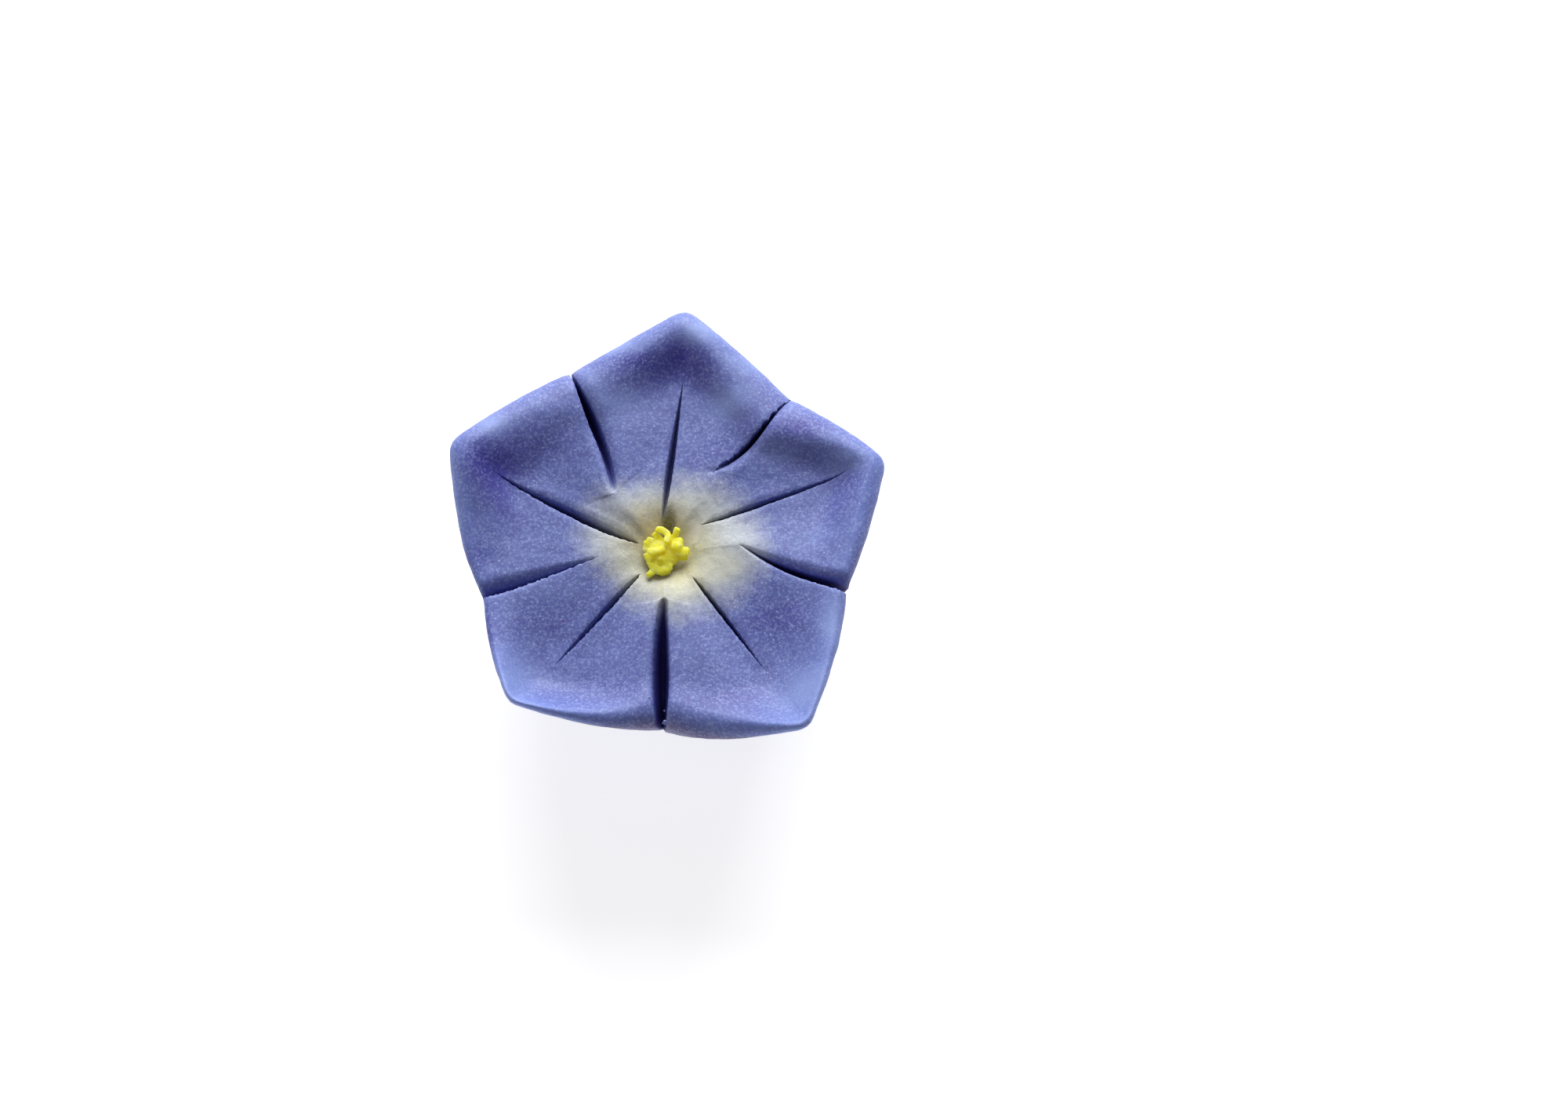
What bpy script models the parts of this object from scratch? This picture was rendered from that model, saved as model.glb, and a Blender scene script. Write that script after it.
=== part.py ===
"""A bellflower sweet: one lump of coloured bean-paste dough, pressed into five petals round a hollow
heart, with a tuft of yellow dough strands in the heart.

Metres, +Z up. The sweet stands on z = 0. The flower's heart is on the Z axis, and its back petal
points to +Y. Every angle is in degrees, anticlockwise from +X, and every reach is a distance from the
Z axis.
"""

import math
from collections import namedtuple

import bmesh
import bpy
from mathutils import Vector

MM = 0.001

# The ten lines that a wooden blade draws on the dough. A line starts near the heart at heart_angle and
# runs to rim_angle on the rim, bowed aside by up to bow degrees. It is cut as far as stop, and is
# half_width wide on each side where it is widest, and depth deep where it is deepest. mouth is its
# width at the rim as a share of its widest, and lean sets its floor aside there.
Line = namedtuple("Line", "rim_angle rim_reach heart_angle start bow stop half_width depth mouth lean")

# Between two petals, from the heart out through the rim and down the side.
SEAMS = (
    Line(-12.9, 22.1 * MM, 0.7, 8.6 * MM, -2.6, 25.5 * MM, 0.80 * MM, 13.0 * MM, 1.2, 2.0 * MM),  # right
    Line(53.7, 24.6 * MM, 56.0, 10.8 * MM, -2.4, 27.0 * MM, 0.50 * MM, 8.5 * MM, 1.2, 0.0),  # back right
    Line(119.6, 25.6 * MM, 126.5, 9.4 * MM, 0.8, 28.0 * MM, 0.65 * MM, 9.0 * MM, 1.0, 0.0),  # back left
    Line(195.7, 22.1 * MM, 188.5, 7.8 * MM, -0.6, 26.0 * MM, 0.55 * MM, 9.0 * MM, 0.8, 0.0),  # left
    Line(268.8, 20.7 * MM, 267.8, 5.7 * MM, -0.4, 25.5 * MM, 1.35 * MM, 12.0 * MM, 0.5, 0.0),  # front
)

# Down the middle of each petal, fading out before its tip.
VEINS = (
    Line(23.1, 28.9 * MM, 30.3, 5.6 * MM, 0.0, 24.2 * MM, 0.30 * MM, 2.0 * MM, 1.0, 0.0),  # back right
    Line(85.6, 30.6 * MM, 90.8, 4.4 * MM, 0.4, 21.4 * MM, 0.36 * MM, 2.6 * MM, 1.0, 0.0),  # back
    Line(153.7, 29.1 * MM, 161.0, 3.9 * MM, 1.6, 23.1 * MM, 0.40 * MM, 2.8 * MM, 1.0, 0.0),  # back left
    Line(227.3, 26.7 * MM, 224.5, 4.0 * MM, 2.2, 21.9 * MM, 0.33 * MM, 2.4 * MM, 1.0, 0.0),  # front left
    Line(306.8, 28.5 * MM, 321.0, 3.4 * MM, 0.4, 20.5 * MM, 0.30 * MM, 2.6 * MM, 1.0, 0.0),  # front right
)

# Seam, vein, seam, vein and so on, anticlockwise.
LINES = tuple(line for pair in zip(SEAMS, VEINS) for line in pair)

# The dough's form along each line. It rises from the shoulder round the heart by rise, up to where the
# rim's inner wall begins, at the share wall of the way to the crest. A wall with a flare of 0 rounds
# over into the crest, and one with 1 steepens all the way. The crest is inset inside the outline, and
# the rim rolls over from it and down by drop to the widest point.
Form = namedtuple("Form", "rise wall flare inset drop crest")
FORMS = (
    Form(0.5 * MM, 0.72, 0.5, 1.2 * MM, 1.2 * MM, 24.8 * MM),  # right seam
    Form(-1.0 * MM, 0.80, 0.2, 2.6 * MM, 2.0 * MM, 24.9 * MM),
    Form(0.2 * MM, 0.78, 0.0, 5.4 * MM, 3.4 * MM, 24.8 * MM),  # back right seam
    Form(-0.1 * MM, 0.75, 0.1, 3.0 * MM, 2.5 * MM, 26.1 * MM),
    Form(1.1 * MM, 0.74, 0.1, 3.9 * MM, 3.0 * MM, 24.9 * MM),  # back left seam
    Form(-0.6 * MM, 0.71, 0.2, 2.3 * MM, 2.0 * MM, 26.5 * MM),
    Form(-0.4 * MM, 0.72, 0.5, 0.7 * MM, 0.8 * MM, 23.3 * MM),  # left seam
    Form(-2.1 * MM, 0.72, 1.0, 0.7 * MM, 0.7 * MM, 26.0 * MM),
    Form(0.4 * MM, 0.80, 1.0, 2.5 * MM, 2.0 * MM, 24.0 * MM),  # front seam
    Form(-1.7 * MM, 0.71, 1.0, 0.8 * MM, 0.8 * MM, 26.4 * MM),
)

# How far each petal's clockwise and anticlockwise edges swell out, in millimetres.
BULGES = ((0.5, 0.4), (0.3, 0.0), (0.6, 1.1), (0.4, 0.7), (1.0, 0.75))
TIP_ROUNDING = 4  # passes of smoothing on the outline
OUTLINE_STEPS = 24  # points on each half petal's edge
BULGE_SKEW = 0.75  # under 1 moves the swelling towards the seam

# The top.
HEART_HEIGHT = 23.0 * MM  # the shoulder round the heart
TIP_PEAK = 2.8  # how sharply the crest climbs towards a tip
TIP_SOFTNESS = 0.16  # how far round the tip the crest is level
PIT_DEPTH = 2.6 * MM
PIT_REACH = 3.7 * MM
PIT_STEEPNESS = 3.0

# The rim and the side below it.
FOOT_REACH = 15.0 * MM  # radius of the flat underside
SIDE_TAPER = 1.8  # 1 is a round side, and 2 is a straight taper

# How finely the dough is divided.
COLUMNS_A_SECTOR = 9
TIP_CROWDING = 1.35  # over 1 sets the columns closer together near the tips
TOP_RINGS = 24
EDGE_RINGS = 5
SIDE_RINGS = 9
FOOT_RINGS = 2

# The blades that cut the lines. A blade is a wedge with its edge down, narrow at its ends.
BLADE_STATIONS = 9
BLADE_CLEARANCE = 2.5 * MM  # how far a blade stands above the dough
BLADE_END_WIDTH = 0.15  # width at a blade's end, as a share of its widest
BLADE_END_DEPTH = 0.1 * MM
BLADE_WIDENING_LIMIT = 4.0  # a shallow wedge isn't let grow wider than this above the dough
SEAM_OPENING = 0.7  # how early a seam opens: under 1 is sooner
SEAM_DEEPENING = 1.2  # how late it deepens: over 1 is later
VEIN_SWELLING = 0.8  # under 1 sets a vein's widest place nearer the heart
ROUTE_STEP = 0.5 * MM  # how far ahead a blade looks for its direction

# The tuft of strands. Its core stands clear of the pit.
CORE_CENTRE = Vector((-0.2 * MM, 0.0, 21.9 * MM))
CORE_RADII = Vector((2.0 * MM, 1.9 * MM, 1.0 * MM))
STRAND_TAPER = 0.15  # how much thinner a strand's root is
STRAND_BLUNTNESS = 0.4  # under 1 keeps a strand full until near its ends
STRAND_SIDES = 7
STRAND_RINGS = 6

# A strand runs from root to end, bowed aside by bow; places are (x, y, z) in millimetres. flatness is
# thickness over width.
Strand = namedtuple("Strand", "root end width bow flatness")
STRANDS = (
    Strand((0.5, 1.9, 22.9), (-1.1, 2.8, 22.8), 0.92, -0.12, 0.75),  # the hook across the back
    Strand((0.5, 2.1, 22.9), (0.2, 0.7, 23.4), 0.84, -0.10, 0.80),  # its bent end
    Strand((0.2, 0.6, 22.0), (0.5, 1.8, 22.6), 0.96, 0.00, 0.90),  # and its root
    Strand((0.9, 1.3, 22.2), (1.5, 2.8, 23.1), 0.92, 0.00, 0.80),  # the stub behind
    Strand((0.7, 0.8, 22.5), (2.1, 1.0, 22.8), 1.56, 0.00, 0.60),  # the nugget on the right
    Strand((0.7, 0.7, 22.8), (1.9, 0.4, 23.0), 1.16, 0.00, 0.65),
    Strand((0.9, 0.1, 22.3), (2.8, -0.1, 22.7), 1.21, 0.00, 0.60),  # the block on the right
    Strand((0.7, -0.4, 21.8), (2.7, -0.5, 22.2), 1.11, 0.00, 0.70),
    Strand((-0.3, 1.5, 22.0), (-1.5, 2.3, 22.4), 0.82, 0.00, 0.70),  # five fingers on the left
    Strand((-0.5, 1.0, 22.1), (-2.2, 1.6, 22.5), 0.84, 0.00, 0.65),
    Strand((-0.8, 0.7, 22.2), (-2.6, 1.1, 22.4), 0.82, 0.00, 0.65),
    Strand((-1.0, 0.3, 22.1), (-2.7, 0.5, 22.3), 0.84, 0.00, 0.65),
    Strand((-1.2, -0.2, 22.0), (-2.5, -0.6, 22.2), 1.06, 0.00, 0.65),
    Strand((0.0, 0.3, 23.0), (-2.1, -0.3, 23.3), 1.06, 0.12, 0.45),  # the leaf on top
    Strand((-0.5, -0.5, 22.4), (-0.5, -1.3, 22.7), 0.96, 0.00, 0.90),  # the bead on top
    Strand((-1.8, -1.1, 22.3), (0.8, -1.5, 22.2), 1.41, 0.00, 0.55),  # the shelf in front
    Strand((-2.0, -1.5, 22.4), (0.9, -1.7, 22.2), 1.16, -0.70, 0.60),  # the crescent round it
    Strand((-1.6, -2.0, 22.0), (0.7, -2.1, 21.9), 1.00, -0.35, 0.60),
    Strand((-1.2, -2.3, 22.1), (-2.1, -3.0, 22.6), 0.80, 0.00, 0.80),  # the stub in front
    Strand((-1.6, 0.1, 22.1), (-1.8, -1.6, 22.2), 1.16, 0.00, 0.60),
    Strand((0.1, -0.6, 21.5), (1.2, -0.8, 21.6), 1.01, 0.00, 0.70),
)

SHARP_ANGLE = 40

# Material values: colour, roughness.
DOUGH_LOOK = ((0.20, 0.22, 0.50), 0.6)
STRAND_LOOK = ((0.85, 0.68, 0.05), 0.55)


def clear_scene():
    for thing in list(bpy.data.objects):
        bpy.data.objects.remove(thing)


def new_collection(name):
    group = bpy.data.collections.new(name)
    bpy.context.scene.collection.children.link(group)
    return group


def new_material(name, look):
    colour, roughness = look
    material = bpy.data.materials.new(name)
    material.use_nodes = True
    shader = material.node_tree.nodes["Principled BSDF"]
    shader.inputs["Base Color"].default_value = (*colour, 1.0)
    shader.inputs["Roughness"].default_value = roughness
    shader.inputs["Metallic"].default_value = 0.0
    return material


def object_from(bm, name, group):
    """A new object in the collection group, made from a closed bmesh with its faces turned out."""
    if bm.calc_volume(signed=True) < 0:
        bmesh.ops.reverse_faces(bm, faces=bm.faces)
    mesh = bpy.data.meshes.new(name)
    bm.to_mesh(mesh)
    bm.free()
    made = bpy.data.objects.new(name, mesh)
    group.objects.link(made)
    return made


def smooth_step(value):
    """0 below 0, 1 above 1, and a smooth rise between."""
    value = min(1.0, max(0.0, value))
    return value * value * (3 - 2 * value)


def mix(first, second, share):
    return first + (second - first) * share


def line_angle(line, reach):
    """The direction, in radians, in which a line passes this reach: a chord, and not a spoke."""
    if reach <= line.start:
        return math.radians(line.heart_angle)
    share = min(1.0, (1 - line.start / reach) / (1 - line.start / line.rim_reach))
    turned = mix(line.heart_angle, line.rim_angle, share) + line.bow * math.sin(math.pi * share)
    return math.radians(turned)


def angle_at(place, reach):
    """The direction of a place round the flower, at a reach. Each whole place is a line."""
    sector = int(place) % len(LINES)
    start = line_angle(LINES[sector], reach)
    turn = (line_angle(LINES[(sector + 1) % len(LINES)], reach) - start) % math.tau
    return start + turn * (place - int(place))


def tipness(place):
    """0 on a seam and 1 on a petal's vein."""
    sector, share = int(place), place - int(place)
    return share if sector % 2 == 0 else 1 - share


def column_place(column):
    """The place of a column of the dough, from its number."""
    place = column / COLUMNS_A_SECTOR
    share = 1 - (1 - tipness(place)) ** TIP_CROWDING
    sector = int(place)
    return sector + (share if sector % 2 == 0 else 1 - share)


def corner(line):
    angle = math.radians(line.rim_angle)
    return Vector((line.rim_reach * math.cos(angle), line.rim_reach * math.sin(angle)))


def rounded(points):
    """The closed outline, with its corners rounded by repeated averaging."""
    for _ in range(TIP_ROUNDING):
        count = len(points)
        points = [
            (points[i - 1] + points[i] * 2 + points[(i + 1) % count]) / 4 for i in range(count)
        ]
    return points


def petal_outline():
    """(angle, reach) round the rim, starting at the first seam: edges that swell between corners."""
    points = []
    for sector, line in enumerate(LINES):
        here, there = corner(line), corner(LINES[(sector + 1) % len(LINES)])
        outward = Vector((there.y - here.y, here.x - there.x)).normalized()
        leaves_seam = sector % 2 == 0
        bulge = BULGES[sector // 2][sector % 2] * MM
        for step in range(OUTLINE_STEPS):
            share = step / OUTLINE_STEPS
            from_seam = share if leaves_seam else 1 - share
            swelling = bulge * math.sin(math.pi * from_seam**BULGE_SKEW)
            points.append(mix(here, there, share) + outward * swelling)
    polar = []
    for point in rounded(points):
        angle = math.atan2(point.y, point.x) % math.tau
        polar.append((angle, point.length))
    return sorted(polar)


OUTLINE = petal_outline()


def rim_reach(angle):
    """The outline's reach in a direction given in radians."""
    angle %= math.tau
    before = OUTLINE[-1][0] - math.tau, OUTLINE[-1][1]
    for after in (*OUTLINE, (OUTLINE[0][0] + math.tau, OUTLINE[0][1])):
        if angle <= after[0]:
            share = (angle - before[0]) / (after[0] - before[0])
            return mix(before[1], after[1], share)
        before = after
    return before[1]


def form_at(place):
    """The form part of the way from one line to the next. The crest climbs late and steeply towards a
    tip."""
    sector, share = int(place) % len(LINES), place - int(place)
    here, there = FORMS[sector], FORMS[(sector + 1) % len(LINES)]
    blended = (mix(first, second, smooth_step(share)) for first, second in zip(here, there))
    seam, tip = (here, there) if sector % 2 == 0 else (there, here)
    level = 1 - math.hypot(1 - tipness(place), TIP_SOFTNESS) + TIP_SOFTNESS
    crest = mix(seam.crest, tip.crest, max(0.0, level) ** TIP_PEAK)
    return Form(*blended)._replace(crest=crest)


def top_height(form, share, reach):
    """The top's height at a share of the way out to the crest: a gentle slope from the shoulder round
    the heart, and then the rim's inner wall."""
    climbing = min(1.0, max(0.0, (share - form.wall) / (1 - form.wall)))
    climb = mix(smooth_step(climbing), climbing**2, form.flare)
    pit = PIT_DEPTH * math.exp(-((reach / PIT_REACH) ** PIT_STEEPNESS))
    slope = form.rise * share
    return HEART_HEIGHT + slope + (form.crest - HEART_HEIGHT - form.rise) * climb - pit


def sharp_point(place, ring):
    """(reach, height) on one column of the dough: over the top, round the rim, down the side and
    across the underside."""
    outer = rim_reach(angle_at(place, LINES[0].stop))
    form = form_at(place)
    crest_reach = outer - form.inset
    if ring <= TOP_RINGS:
        share = ring / TOP_RINGS
        return share * crest_reach, top_height(form, share, share * crest_reach)
    ring -= TOP_RINGS
    widest = form.crest - form.drop
    if ring <= EDGE_RINGS:
        turn = math.pi / 2 * ring / EDGE_RINGS
        return crest_reach + form.inset * math.sin(turn), widest + form.drop * math.cos(turn)
    ring -= EDGE_RINGS
    if ring <= SIDE_RINGS:
        turn = math.pi / 2 * ring / SIDE_RINGS
        reach = FOOT_REACH + (outer - FOOT_REACH) * max(0.0, math.cos(turn)) ** SIDE_TAPER
        return reach, widest * (1 - math.sin(turn) ** SIDE_TAPER)
    ring -= SIDE_RINGS
    return FOOT_REACH * (1 - ring / FOOT_RINGS), 0.0


def profile_point(place, ring):
    """The same, with the crest softened by averaging."""
    if ring == 0 or ring > TOP_RINGS + EDGE_RINGS:
        return sharp_point(place, ring)
    before, here, after = (sharp_point(place, ring + step) for step in (-1, 0, 1))
    return tuple((first + middle * 2 + last) / 4 for first, middle, last in zip(before, here, after))


def surface_point(place, ring):
    reach, height = profile_point(place, ring)
    angle = angle_at(place, reach)
    return Vector((reach * math.cos(angle), reach * math.sin(angle), height))


def make_dough(group):
    """A ball whose meridians become the columns of the flower."""
    columns = COLUMNS_A_SECTOR * len(LINES)
    rings = TOP_RINGS + EDGE_RINGS + SIDE_RINGS + FOOT_RINGS
    bm = bmesh.new()
    bmesh.ops.create_uvsphere(bm, u_segments=columns, v_segments=rings, radius=1.0)
    for vert in bm.verts:
        column = round(math.atan2(vert.co.y, vert.co.x) / math.tau * columns) % columns
        ring = round(math.acos(max(-1.0, min(1.0, vert.co.z))) / math.pi * rings)
        vert.co = surface_point(column_place(column), ring)
    return object_from(bm, "flower", group)


def route_point(line, reach):
    angle = line_angle(line, reach)
    return Vector((reach * math.cos(angle), reach * math.sin(angle)))


def line_height(line, reach):
    """The dough's top under a line, level past the crest."""
    form = FORMS[LINES.index(line)]
    crest_reach = rim_reach(math.radians(line.rim_angle)) - form.inset
    share = min(1.0, reach / crest_reach)
    return top_height(form, share, reach)


# One place along a blade.
Section = namedtuple("Section", "reach half_width floor lean")


def blade_section(line, share):
    """What a blade is like at a share of its length."""
    reach = mix(line.start, line.stop, share)
    top = line_height(line, reach)
    if line in SEAMS:
        opening = share**SEAM_OPENING
        heart_end = line_height(line, line.start)
        floor_end = FORMS[LINES.index(line)].crest - line.depth
        floor = mix(heart_end, floor_end, share**SEAM_DEEPENING)
    else:
        opening = math.sin(math.pi * share**VEIN_SWELLING)
        floor = top - line.depth * opening
    width = opening * mix(1.0, line.mouth, smooth_step(share * 2 - 1))
    half_width = line.half_width * mix(BLADE_END_WIDTH, 1.0, width)
    return Section(reach, half_width, min(floor, top - BLADE_END_DEPTH), line.lean * opening)


def make_blade(name, line, group):
    """A wedge with its edge down: a three-sided prism, stretched along the line."""
    bm = bmesh.new()
    bmesh.ops.create_cone(bm, cap_ends=True, segments=3, radius1=1.0, radius2=1.0, depth=1.0)
    long_edges = [edge for edge in bm.edges if edge.verts[0].co.z * edge.verts[1].co.z < 0]
    bmesh.ops.subdivide_edges(bm, edges=long_edges, cuts=BLADE_STATIONS - 1, use_grid_fill=True)
    for vert in bm.verts:
        side = round(math.atan2(vert.co.y, vert.co.x) / math.tau * 3)  # 0 is the edge, 1 and -1 the back
        section = blade_section(line, vert.co.z + 0.5)
        top = line_height(line, section.reach)
        here = route_point(line, section.reach)
        across = (route_point(line, section.reach + ROUTE_STEP) - here).orthogonal().normalized()
        if side == 0:
            vert.co = (*(here + across * section.lean), section.floor)
            continue
        above = BLADE_CLEARANCE / (top - section.floor)
        offset = section.half_width * min(1 + above, BLADE_WIDENING_LIMIT) * side
        offset -= section.lean * above
        vert.co = (*(here + across * offset), top + BLADE_CLEARANCE)
    blade = object_from(bm, name, group)
    blade.hide_render = True
    blade.display_type = "WIRE"
    return blade


def make_flower(group):
    flower = make_dough(group)
    blades = new_collection("blades")
    for number, line in enumerate(SEAMS, 1):
        make_blade(f"seam_blade_{number}", line, blades)
    for number, line in enumerate(VEINS, 1):
        make_blade(f"vein_blade_{number}", line, blades)
    cut = flower.modifiers.new("blade cuts", "BOOLEAN")
    cut.operation = "DIFFERENCE"
    cut.operand_type = "COLLECTION"
    cut.collection = blades
    cut.solver = "EXACT"
    flower.data.materials.append(new_material("petal_dough", DOUGH_LOOK))
    return flower


def make_strand(strand, group):
    """A ball drawn out into a short thick strand along a bowed path."""
    root, end = Vector(strand.root) * MM, Vector(strand.end) * MM
    along = end - root
    across = Vector((-along.y, along.x, 0.0)).normalized()
    upward = along.cross(across).normalized()
    radius = strand.width / 2 * MM
    bm = bmesh.new()
    bmesh.ops.create_uvsphere(bm, u_segments=STRAND_SIDES, v_segments=STRAND_RINGS, radius=1.0)
    for vert in bm.verts:
        share = (vert.co.z + 1) / 2
        thickness = radius * (1 - STRAND_TAPER * (1 - share))
        middle = root + along * share + across * (strand.bow * MM * math.sin(math.pi * share))
        around = Vector((vert.co.x, vert.co.y))
        around = around.normalized() * around.length**STRAND_BLUNTNESS
        vert.co = middle + (across * around.x + upward * around.y * strand.flatness) * thickness
    return object_from(bm, "strand", group)


def make_stamens(group):
    """The strands fused with a core into one tuft."""
    bm = bmesh.new()
    bmesh.ops.create_icosphere(bm, subdivisions=2, radius=1.0)
    for vert in bm.verts:
        vert.co = CORE_CENTRE + vert.co * CORE_RADII
    stamens = object_from(bm, "stamens", group)
    loose = new_collection("loose strands")
    for strand in STRANDS:
        make_strand(strand, loose)
    join = stamens.modifiers.new("join", "BOOLEAN")
    join.operation = "UNION"
    join.operand_type = "COLLECTION"
    join.collection = loose
    join.solver = "EXACT"
    graph = bpy.context.evaluated_depsgraph_get()
    joined = bpy.data.meshes.new_from_object(stamens.evaluated_get(graph))
    stamens.modifiers.clear()
    stamens.data = joined
    for thing in list(loose.objects):
        bpy.data.objects.remove(thing)
    bpy.data.collections.remove(loose)
    joined.name = "stamens"
    joined.materials.clear()
    joined.materials.append(new_material("strand_dough", STRAND_LOOK))
    return stamens


def main():
    clear_scene()
    group = new_collection("bellflower_sweet")
    flower = make_flower(group)
    stamens = make_stamens(group)
    for piece in (flower, stamens):
        piece.data.shade_smooth()
        piece.data.set_sharp_from_angle(angle=math.radians(SHARP_ANGLE))


main()
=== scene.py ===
"""Models and finishes a bellflower sweet: petals of periwinkle bean-paste dough round a cream heart, a
tuft of yellow strands pressed through a sieve, stray crumbs, and the stage that they are shown on.

Sizes in the tables are millimetres and angles are degrees, anticlockwise from +X. A mesh is written in
metres, +Z up. The heart is on the Z axis, the back petal points to +Y, and the sweet stands on z = 0.
"""

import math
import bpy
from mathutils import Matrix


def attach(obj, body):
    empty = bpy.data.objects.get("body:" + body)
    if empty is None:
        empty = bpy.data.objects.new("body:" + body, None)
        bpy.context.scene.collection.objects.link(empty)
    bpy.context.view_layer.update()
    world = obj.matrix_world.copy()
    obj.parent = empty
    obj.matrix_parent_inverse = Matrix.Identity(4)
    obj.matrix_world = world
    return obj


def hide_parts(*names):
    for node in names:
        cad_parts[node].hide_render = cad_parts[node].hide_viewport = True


bl_info = {
    "name": "Bellflower Sweet",
    "version": (1, 0, 0),
    "blender": (4, 5, 0),
    "location": "3D View > Sidebar > Sweet",
    "description": "Models and finishes a bellflower sweet of bean-paste dough",
    "category": "Add Mesh",
}

from collections import namedtuple

import bmesh
import bpy
import numpy as np
from bpy.props import FloatProperty, FloatVectorProperty, IntProperty, PointerProperty
from mathutils import Vector, noise

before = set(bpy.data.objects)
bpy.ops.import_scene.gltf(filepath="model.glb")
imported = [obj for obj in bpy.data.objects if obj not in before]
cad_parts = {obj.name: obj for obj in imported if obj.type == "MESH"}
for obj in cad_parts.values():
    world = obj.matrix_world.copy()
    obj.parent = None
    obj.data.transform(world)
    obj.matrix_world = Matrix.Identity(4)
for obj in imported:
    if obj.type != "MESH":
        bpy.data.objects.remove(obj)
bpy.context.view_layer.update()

MM = 0.001
FULL_TURN = 2 * math.pi

# The ten lines that a wooden blade draws on the dough. A line starts near the heart at heart_angle and
# runs to rim_angle on the rim, bowed aside by up to bow. It is cut as far as stop, is half_width wide
# on each side where it is widest, and is depth deep where it is deepest. The outline's corner stands off
# the line's end by turn.
Line = namedtuple("Line", "rim_angle rim_reach heart_angle start bow stop half_width depth turn")

# Between two petals, from the heart out through the rim and down the side.
SEAMS = (
    Line(-13.3, 22.1, 4.0, 8.8, -2.2, 25.5, 0.76, 13.0, 0.4),  # right
    Line(52.4, 24.6, 59.4, 11.6, -2.6, 23.5, 0.40, 7.0, 0.8),  # back right
    Line(117.4, 25.6, 130.2, 9.4, -2.5, 25.4, 0.74, 8.0, 0.5),  # back left
    Line(195.0, 22.1, 185.0, 7.8, 0.0, 26.0, 0.48, 9.0, 0.0),  # left
    Line(269.1, 21.2, 269.4, 5.9, -1.2, 22.2, 1.30, 12.0, 0.0),  # front
)

# Down the middle of each petal, fading out before its tip.
VEINS = (
    Line(23.9, 28.9, 37.2, 5.5, 0.0, 24.2, 0.38, 1.9, -0.8),  # back right petal
    Line(84.0, 30.6, 94.6, 4.2, 0.2, 21.4, 0.46, 3.3, 1.4),  # back petal
    Line(154.6, 29.1, 158.9, 3.6, 2.4, 22.2, 0.60, 3.6, -0.9),  # back left petal
    Line(227.3, 26.7, 221.5, 4.0, 0.0, 19.0, 0.38, 2.3, 0.0),  # front left petal
    Line(308.2, 28.5, 316.4, 4.6, 0.7, 18.5, 0.33, 2.1, -1.4),  # front right petal
)
LINES = tuple(line for pair in zip(SEAMS, VEINS) for line in pair)

# How the dough turns over into a cut, on its clockwise and anticlockwise side: how far from the cut the
# surface starts to fall, and how far it falls. lean sets the cut's floor aside, and mouth is its width
# at the rim as a share of its widest. torn is how ragged each edge is.
Lip = namedtuple("Lip", "cw_width cw_drop cw_torn ccw_width ccw_drop ccw_torn lean mouth")
LIPS = (
    Lip(0.4, 0.10, 0.07, 1.4, 0.90, 0.00, 0.6, 1.0),  # right seam
    Lip(0.8, 0.10, 0.03, 0.7, 0.20, 0.05, 0.10, 1.0),
    Lip(1.5, 0.40, 0.00, 0.4, 0.10, 0.13, 0.4, 0.10),  # back right seam
    Lip(0.5, 0.15, 0.05, 0.7, 0.20, 0.03, 0.0, 1.0),
    Lip(1.2, 0.50, 0.03, 0.9, 0.35, 0.03, 0.4, 0.20),  # back left seam
    Lip(0.9, 0.35, 0.02, 0.4, 0.10, 0.05, 0.15, 1.0),
    Lip(1.7, 1.30, 0.00, 0.5, 0.15, 0.08, 0.5, 0.6),  # left seam
    Lip(0.8, 0.25, 0.03, 0.4, 0.10, 0.06, 0.15, 1.0),
    Lip(0.8, 0.30, 0.02, 0.5, 0.20, 0.02, 0.2, 0.6),  # front seam
    Lip(0.5, 0.15, 0.03, 0.8, 0.25, 0.05, 0.0, 1.0),
)

# The dough's form along each line. It rises from the shoulder round the heart by rise, up to where the
# rim's inner wall begins, at the share wall of the way to the crest. A wall with a flare of 0 rounds
# over into the crest, and one with 1 steepens all the way. The crest is inset inside the outline, and
# the rim rolls over from it and down by drop to the widest point.
Form = namedtuple("Form", "rise wall flare inset drop crest")
FORMS = (
    Form(0.5, 0.72, 0.5, 1.2, 1.2, 24.8),  # right seam
    Form(-1.0, 0.82, 0.2, 2.5, 2.0, 24.9),
    Form(0.3, 0.81, 0.0, 5.2, 3.4, 24.8),  # back right seam
    Form(-0.1, 0.77, 0.1, 2.9, 2.5, 26.1),
    Form(1.1, 0.78, 0.1, 3.7, 3.0, 24.9),  # back left seam
    Form(-0.6, 0.71, 0.2, 2.3, 2.0, 26.5),
    Form(-0.4, 0.72, 0.5, 0.7, 0.8, 23.3),  # left seam
    Form(-2.1, 0.79, 1.0, 0.7, 0.7, 26.0),
    Form(0.4, 0.82, 1.0, 2.6, 2.2, 24.0),  # front seam
    Form(-1.5, 0.68, 1.0, 0.8, 0.8, 26.4),
)

# How far round from a seam its form holds before the tip's takes over, in each space between lines.
HOLDS = (1.0, 1.0, 1.0, 1.0, 1.0, 1.0, 1.0, 0.7, 2.1, 1.0)

# How far each petal's clockwise and anticlockwise edges swell out.
BULGES = ((0.5, 0.4), (0.3, 0.1), (0.65, 1.1), (0.65, 1.0), (1.1, 0.75))
TIP_ROUNDING = 4  # passes of smoothing on the outline
OUTLINE_STEPS = 24  # points on each half petal's edge
BULGE_SKEW = 0.75  # under 1 moves the swelling towards the seam

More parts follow.
